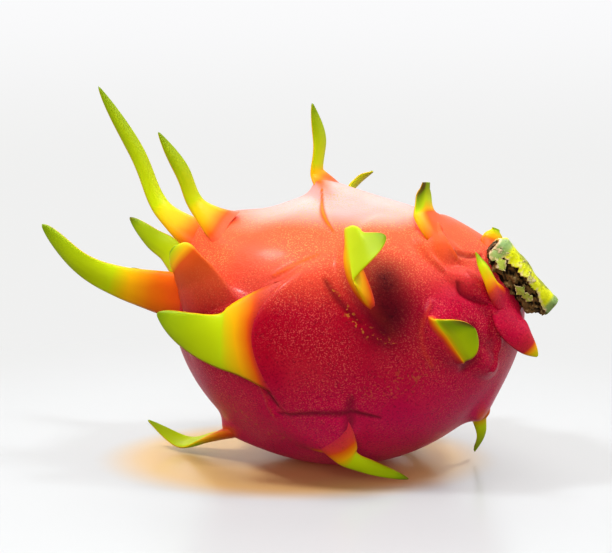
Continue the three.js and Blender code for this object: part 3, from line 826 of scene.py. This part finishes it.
def cork_finish(colours):
    """Broken corky tissue: near-black painted shade in its pits, brown fibres and pale crumbs, olive
    on the cut end.
    """
    finish = Finish("pitaya_cork", IOR=1.4, Specular_IOR_Level=0.3)
    fibre = finish.noise(420.0, 6.0, 0.7, (0.6, 1.0, 1.4))
    crumbs = finish.noise(900.0, 4.0, 0.6)
    relief = finish.mark("relief")
    # Painted shade where the tissue lies low, cork colour where it is raised
    raised = (fibre * 0.6 + relief * 0.7 - 0.2).step(0.30, 0.62)
    shade = raised.mix(tuple(colours.painted_pit_shade), tuple(colours.cork))
    shade = (crumbs.step(0.56, 0.68) * relief.step(0.2, 0.6)).mix(shade, tuple(colours.crumb))
    end = finish.noise(300.0, 3.0).step(0.45, 0.60).mix(tuple(colours.olive), tuple(colours.pith))
    shade = finish.mark("cut").mix(shade, end)
    height = fibre * 0.8 + crumbs * 0.5
    rough = crumbs * 0.2 + 0.55
    return finish.surface(Base_Color=shade, Roughness=rough, Normal=finish.bump(height, 0.0009))


# ---------------------------------------------------------------- operators

def context_fruit(context):
    """The fruit's shape from the scene's settings, with every bract planted on it."""
    fruit = Fruit(context.scene.pitaya_body)
    for swelling in (*BRACTS, *LOBES):
        swelling.plant(fruit)
    return fruit


def place_marks(fruit, points):
    """Where skin is pale with a painted sheen, low on the fruit or coral, from its place and slope."""
    height = points[..., 2]
    along = (points - fruit.centre) @ fruit.axis
    _, normals = fruit.plain(*fruit.address(points))
    return {
        # Painted sheen where the skin faces up
        "pale": smooth(normals[..., 2], 0.80, 0.98) * 0.85,
        "low": smooth(height, 46.0, 10.0) * 0.9 + smooth(along, 0.0, -50.0) * 0.25,
        "coral": smooth(height + 0.10 * along, 50.0, 74.0),
    }


def make_body(context):
    """The fruit's body as one closed surface over stations and angles, with its seams pressed in."""
    fruit = context_fruit(context)
    rows, round_ = SKIN_GRID
    station = np.linspace(0.0, np.pi, rows + 1)[1:-1, None]
    angle = np.linspace(0.0, 2 * np.pi, round_ + 1)[None, :-1]
    plain, _ = fruit.plain(station, angle)
    relief, stain, gold = np.zeros((3, *plain.shape[:2]))
    ripe = np.max([b.tint(plain) for b in BRACTS], axis=0)
    for seam in SEAMS:
        near = seam.nearness(fruit, plain)
        relief = relief + seam.height * near
        # How much painted shade darkens the skin along the seam
        stain = np.maximum(stain, seam.stain * near)
        gold = np.maximum(gold, seam.gold * near)
        ripe = np.maximum(ripe, seam.amber * near)
    rings = swollen_skin(fruit, station, angle, relief)
    marks = place_marks(fruit, rings) | {"ripe": ripe, "fleck": gold, "bruise": stain}
    first = swollen_skin(fruit, np.array(0.0), np.array(0.0))
    last = swollen_skin(fruit, np.array(np.pi), np.array(0.0))
    ends = {key: (values[0].mean(), values[-1].mean()) for key, values in marks.items()}
    mesh = closed_mesh("fruit_skin", rings, first, last, marks, ends)
    add_piece(mesh, skin_finish(context.scene.pitaya_colours), "rind", "fruit_body")


class PITAYA_OT_body(bpy.types.Operator):
    """Build the fruit's body with its swellings"""

    bl_idname = "pitaya.body"
    bl_label = "Body"

    def execute(self, context):
        make_body(context)
        return {"FINISHED"}


def make_bracts(context):
    """Every bract as its own closed surface."""
    fruit = context_fruit(context)
    material = bract_finish(context.scene.pitaya_colours)
    for bract in BRACTS:
        rings, sunk, tip, marks = bract_surface(fruit, bract)
        marks.update(place_marks(fruit, rings))
        marks["ripe"] = bract.ripeness(marks["along"], marks["across"])
        marks["fleck"] = marks["bruise"] = np.zeros_like(marks["ripe"])
        ends = {key: (values[0].mean(), values[-1].mean()) for key, values in marks.items()}
        mesh = closed_mesh(bract.name + "_leaf", rings, sunk, tip, marks, ends)
        add_piece(mesh, material, "leaf", bract.name)


class PITAYA_OT_bracts(bpy.types.Operator):
    """Build the bracts"""

    bl_idname = "pitaya.bracts"
    bl_label = "Bracts"

    def execute(self, context):
        make_bracts(context)
        return {"FINISHED"}


def waves(points, size, seed, count=9):
    """Smooth irregular heights from -1 to 1: the mean of sine waves of one wavelength, size in
    millimetres, along scattered directions."""
    rng = np.random.default_rng(seed)
    ways = unit(rng.normal(size=(count, 3))) * 2 * np.pi / size
    return np.sin(points @ ways.T + rng.uniform(0, 2 * np.pi, count)).mean(-1) * 2.2


def stub_place(fruit, along, turn, grow=0.0):
    """Points of the stub at places along it and turns round it, 0 on top and 90 degrees in front:
    rounded-rectangle sections on a sloping line, grown all round by grow millimetres."""
    along, turn = np.broadcast_arrays(along, turn)
    root, _ = fruit.plain(*np.radians(STUB_AT))
    slope = np.radians(STUB_SLOPE)
    length = np.array([np.cos(slope), 0.0, np.sin(slope)])
    tall = np.array([-np.sin(slope), 0.0, np.cos(slope)])
    deep = np.array([0.0, -1.0, 0.0])
    middle, half_height, half_depth = (
        np.interp(along, STUB_SECTIONS[:, 0], STUB_SECTIONS[:, i]) for i in (1, 2, 3))
    power = STUB_ROUNDING
    box = (np.abs(np.cos(turn)) ** power + np.abs(np.sin(turn)) ** power) ** (-1 / power)
    return (root + STUB_MIDDLE + along[..., None] * length
            + (middle + (half_height + grow) * box * np.cos(turn))[..., None] * tall
            + ((half_depth + grow) * box * np.sin(turn))[..., None] * deep)


def make_stub_core(fruit, colours):
    """The stub's broken inside: its sections, pitted by waves of several sizes and ribbed along its
    length, smooth on the cut end."""
    rows, round_ = STUB_GRID
    start, end = STUB_SECTIONS[[0, -1], 0]
    along = np.linspace(start, end, rows)[:, None]
    turn = np.linspace(0.0, 2 * np.pi, round_ + 1)[None, :-1]
    plain = stub_place(fruit, along, turn)
    fibres = np.sin(turn * 21 + 2.0 * waves(plain, 9.0, 4)) * 0.5
    pits = waves(plain, 5.0, 1) * 0.6 + waves(plain, 2.2, 2) * 0.6 + waves(plain, 1.1, 3) * 0.35
    cut = smooth(along, end - 1.2, end - 0.2) * np.ones_like(turn)
    relief = (pits + 0.4 * fibres) * (1 - cut)
    rings = stub_place(fruit, along, turn, -1.1 + 0.9 * relief)
    marks = {"relief": np.clip(0.5 + 0.5 * relief, 0, 1), "cut": cut}
    ends = {"relief": (0.5, 0.5), "cut": (0.0, 1.0)}
    mesh = closed_mesh("stub_core", rings, rings[0].mean(0), rings[-1].mean(0), marks, ends)
    add_piece(mesh, cork_finish(colours), "cork", "cut_stem")


def make_stub_skin(fruit, material):
    """The sheet of cactus skin over the stub, from behind it over its top to a ragged front edge,
    which curls away from the core over the slit in its middle."""
    rows, across = SHEET_GRID
    start, end = STUB_SECTIONS[[0, -1], 0]
    along = np.linspace(start + 0.3, end - 0.4, rows)[:, None]
    w = np.linspace(0.0, 1.0, across)[None, :]
    # How far round the front edge lies at places along the stub, in degrees
    places = [start, -15.0, -12.8, -8.0, 0.0, 3.0, 6.0, end]
    edge = np.interp(along, places, [125, 115, 74, 71, 66, 72, 100, 105])
    ragged = waves(np.broadcast_to(along, (rows, 3)), 3.1, 7)[:, None] * 5 + np.sin(along * 5.1) * 1.5
    front, back = np.radians(edge + ragged), np.radians(-118.0 + 6 * np.sin(along * 0.9))
    turn = back + (front - back) * w
    plain = stub_place(fruit, along, turn)
    curl = smooth(w, 0.80, 1.0) * np.exp(-((along + 4.5) / 4.5) ** 2)
    lift = 0.30 + 0.35 * waves(plain, 8.0, 11) + 0.14 * waves(plain, 2.6, 12) + 1.1 * curl
    outer = stub_place(fruit, along, turn, lift)
    inner = stub_place(fruit, along, turn, lift - 0.8)
    border = np.minimum(smooth(w, 1.0, 0.93), smooth(along, start + 0.3, start + 1.0))
    marks = {
        "edge": 1 - border,
        "facet": np.maximum(smooth(along, -12.2, -13.6) * smooth(w, 0.5, 0.6) * 0.8,
                            smooth(along, 5.6, 7.0) * (0.25 + 0.6 * smooth(w, 0.55, 0.7))),
    }
    add_piece(shell_mesh("stub_skin", outer, inner, marks), material, "cork", "cut_stem")


def make_stub_flap(fruit, material, name, along, turn, half, lift, tilt):
    """A small oval flap of skin with a torn edge at a place along and round the stub. half holds
    its half-length in millimetres and half-width in degrees. It stands off the stub by lift, more
    on one side by tilt."""
    rows, across = FLAP_GRID
    x = np.linspace(-1.0, 1.0, rows)[:, None]
    y = np.linspace(-1.0, 1.0, across)[None, :]
    torn = 1 + 0.30 * np.sin(5.0 * x + along) + 0.22 * np.sin(11.0 * x) + 0.12 * np.sin(23.0 * x)
    round_off = np.sqrt(1 - 0.92 * x * x) * torn
    place_along = along + half[0] * x + 0.6 * np.sin(4.0 * y + along)
    place_turn = np.radians(turn + half[1] * y * round_off)
    rise = lift + tilt * y + 0.25 * np.cos(1.4 * x) * np.cos(1.4 * y)
    outer = stub_place(fruit, place_along, place_turn, rise)
    inner = stub_place(fruit, place_along, place_turn, rise - 0.6)
    rim = np.maximum(np.abs(x), np.abs(y))
    marks = {"edge": smooth(rim, 0.72, 0.95), "facet": 0.55 + 0 * rim}
    add_piece(shell_mesh(name, outer, inner, marks), material, "cork")


def make_stem(context):
    """The stub of stem: its broken core, the sheet of skin over it and two torn flaps."""
    fruit = context_fruit(context)
    colours = context.scene.pitaya_colours
    make_stub_core(fruit, colours)
    skin = stem_skin_finish(colours)
    make_stub_skin(fruit, skin)
    make_stub_flap(fruit, skin, "stub_flap", -1.6, 96, (3.2, 11), 0.6, -0.5)
    make_stub_flap(fruit, skin, "stub_chip", -12.4, 92, (1.9, 13), 0.2, 0.3)


class PITAYA_OT_stem(bpy.types.Operator):
    """Build the stub of stem"""

    bl_idname = "pitaya.stem"
    bl_label = "Stem stub"

    def execute(self, context):
        make_stem(context)
        return {"FINISHED"}


def make_ground(name, radius, height):
    """A surface of revolution through a profile of radii and heights, in metres, facing up and in."""
    turn = np.linspace(0.0, 2 * np.pi, 97)[None, :-1]
    x, y = radius[:, None] * np.cos(turn), radius[:, None] * np.sin(turn)
    points = np.stack([x, y, np.broadcast_to(height[:, None], x.shape)], -1).reshape(-1, 3)
    rows, round_ = x.shape
    i, j = np.meshgrid(np.arange(rows - 1), np.arange(round_), indexing="ij")
    a, b = i * round_ + j, i * round_ + (j + 1) % round_
    quads = np.stack([a, a + round_, b + round_, b], -1).reshape(-1, 4)
    mesh = bpy.data.meshes.new(name)
    mesh.from_pydata(points.tolist(), [], quads.tolist())
    mesh.polygons.foreach_set("use_smooth", np.ones(len(mesh.polygons), bool))
    ground = bpy.data.objects.new(name, mesh)
    bpy.context.scene.collection.objects.link(ground)
    return ground


def backdrop_finish(name, colours):
    """Pale glossy surface with a painted warm reflection and shadow tint of the fruit in an ellipse
    under it. It turns into an even emission, partly at the ellipse's rim and wholly as the distance
    from the middle goes through the radii of FLOOR_FADE."""
    finish = Finish(name, Roughness=0.22)
    scale = (1 / PAINTED_REFLECTION_SPOT[0], 1 / PAINTED_REFLECTION_SPOT[1], 1.0)
    spot = finish.place.node("ShaderNodeMapping", 0, {}, finish.place, Scale=scale)
    spread = spot.node("ShaderNodeVectorMath", "Value", {"operation": "LENGTH"}, spot)
    # Painted warm reflection and shadow tint under the fruit, in the base colour and in the emission
    painted_reflection_mask = 1 - spread.step(0.75, 1.1)
    finish.surface(Base_Color=painted_reflection_mask.mix(tuple(colours.floor), tuple(colours.glow_and_painted_reflection)))
    far = finish.place.node("ShaderNodeVectorMath", "Value", {"operation": "LENGTH"}, finish.place)
    height = finish.place.node("ShaderNodeSeparateXYZ", "Z", {}, finish.place)
    backdrop = height.step(0.0, 0.20).mix(tuple(colours.haze), tuple(colours.white))
    evenness = spread.step(0.5, 1.3) * 0.4 + far.step(*FLOOR_FADE) * 0.6

    nodes, links = finish.tree.nodes, finish.tree.links
    glow_and_painted_reflection = nodes.new("ShaderNodeEmission")
    blend = nodes.new("ShaderNodeMixShader")
    links.new(painted_reflection_mask.mix(backdrop, tuple(colours.glow_and_painted_reflection)).socket, glow_and_painted_reflection.inputs["Color"])
    links.new(evenness.socket, blend.inputs["Fac"])
    links.new(finish.shader.outputs[0], blend.inputs[1])
    links.new(glow_and_painted_reflection.outputs[0], blend.inputs[2])
    links.new(blend.outputs[0], nodes["Material Output"].inputs["Surface"])
    return finish.material


def add_softbox(name, place, aim, size, power, tint=(1.0, 1.0, 1.0)):
    """A square area light at a place, facing a point, both in metres."""
    data = bpy.data.lights.new(name, "AREA")
    data.shape, data.size, data.energy, data.color = "SQUARE", size, power, tint
    lamp = bpy.data.objects.new(name, data)
    lamp.location = place
    lamp.rotation_euler = (Vector(aim) - Vector(place)).to_track_quat("-Z", "Y").to_euler()
    bpy.context.scene.collection.objects.link(lamp)
    return lamp


def make_sky():
    """A studio that is bright behind the fruit, less so at its sides and dim in front, with some
    light from below in the place of what the floor gives back."""
    world = bpy.data.worlds.new("sky")
    world.use_nodes = True
    background = world.node_tree.nodes["Background"]
    way = Wire(world.node_tree, None).node("ShaderNodeTexCoord", "Generated", {})
    behind = way.node("ShaderNodeSeparateXYZ", "Y", {}, way).step(-0.35, 0.75)
    above = way.node("ShaderNodeSeparateXYZ", "Z", {}, way).step(0.2, 1.0)
    sky = way.node("ShaderNodeSeparateXYZ", "Z", {}, way).step(-0.04, 0.04)
    sideways = way.node("ShaderNodeSeparateXYZ", "X", {}, way)
    sides = (sideways * sideways).step(0.3, 0.9)
    strength = (behind * 0.75 + above * 0.10 + sides * 0.35 - 0.07) * sky + 0.10 + sides * 0.35
    world.node_tree.links.new(strength.socket, background.inputs["Strength"])
    background.inputs["Color"].default_value = (1.0, 0.985, 0.97, 1.0)
    return world


def make_stage(context):
    """The pale floor and backdrop, the softboxes, the sky and the camera."""
    settings = context.scene.pitaya_stage
    floor = make_ground("stage_floor", np.array([0.0005, 0.3, 0.6, 0.9]), np.zeros(4))
    bend = np.linspace(0.0, np.pi / 2, 24)
    wall = make_ground("stage_wall", np.append(0.9 + 0.5 * np.sin(bend), 1.4),
                       np.append(0.5 - 0.5 * np.cos(bend), 2.2))
    for ground in (floor, wall):
        ground.data.materials.append(backdrop_finish(ground.name, settings))
    wall.visible_diffuse = wall.visible_glossy = wall.visible_shadow = False
    floor.visible_diffuse = False
    add_softbox("back", (0.0, 1.4, 1.3), AIM, 1.4, 13.0)
    add_softbox("overhead", (0.0, -0.2, 1.9), AIM, 0.9, 11.0)
    add_softbox("left", (-0.9, -0.2, 1.6), AIM, 0.25, 20.0, (0.86, 0.94, 1.0))
    add_softbox("right", (0.95, -0.1, 1.5), AIM, 0.25, 14.0, (0.86, 0.94, 1.0))
    fill = add_softbox("fill", (0.0, -1.8, 0.45), (0.0, 0.0, 0.04), 1.2, 21.0)
    fill.visible_glossy = False
    context.scene.world = make_sky()
    fruit = Fruit(context.scene.pitaya_body)
    tilt = settings.elevation
    target = Vector(((fruit.centre + VIEW_OFFSET) * MM).tolist())
    back = Vector((0.0, -np.cos(tilt), np.sin(tilt)))
    data = bpy.data.cameras.new("camera")
    data.lens = settings.lens
    camera = bpy.data.objects.new("camera", data)
    camera.location = target + back * settings.distance
    camera.rotation_euler = (-back).to_track_quat("-Z", "Y").to_euler()
    context.scene.collection.objects.link(camera)
    context.scene.camera = camera
    context.scene.view_settings.view_transform = "Standard"
    context.scene.view_settings.look = "Medium High Contrast"
    context.scene.view_settings.exposure = -0.3


class PITAYA_OT_stage(bpy.types.Operator):
    """Build the stage, the light and the camera"""

    bl_idname = "pitaya.stage"
    bl_label = "Stage"

    def execute(self, context):
        make_stage(context)
        return {"FINISHED"}


class PITAYA_PT_panel(bpy.types.Panel):
    """The dragon fruit's settings and operators"""

    bl_idname = "PITAYA_PT_panel"
    bl_label = "Dragon fruit"
    bl_space_type = "VIEW_3D"
    bl_region_type = "UI"
    bl_category = "Dragon fruit"

    def draw(self, context):
        for group in (getattr(context.scene, name) for name in GROUPS):
            box = self.layout.box()
            for name in group.__annotations__:
                box.prop(group, name)
        for operator in OPERATORS:
            self.layout.operator(operator.bl_idname)


OPERATORS = (PITAYA_OT_body, PITAYA_OT_bracts, PITAYA_OT_stem, PITAYA_OT_stage)
GROUPS = {
    "pitaya_body": PitayaBodySettings,
    "pitaya_colours": PitayaColourSettings,
    "pitaya_stage": PitayaStageSettings,
}


def register():
    """Registers every class and hangs the settings on the scene."""
    for cls in (*GROUPS.values(), *OPERATORS, PITAYA_PT_panel):
        bpy.utils.register_class(cls)
    for name, group in GROUPS.items():
        setattr(bpy.types.Scene, name, bpy.props.PointerProperty(type=group))


def unregister():
    """Takes away what register added."""
    for name in GROUPS:
        delattr(bpy.types.Scene, name)
    for cls in (PITAYA_PT_panel, *reversed(OPERATORS), *reversed(GROUPS.values())):
        bpy.utils.unregister_class(cls)


def main():
    """Registers the add-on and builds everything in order."""
    register()
    bpy.ops.pitaya.body()
    bpy.ops.pitaya.bracts()
    bpy.ops.pitaya.stem()
    bpy.ops.pitaya.stage()


if __name__ == "__main__":
    main()
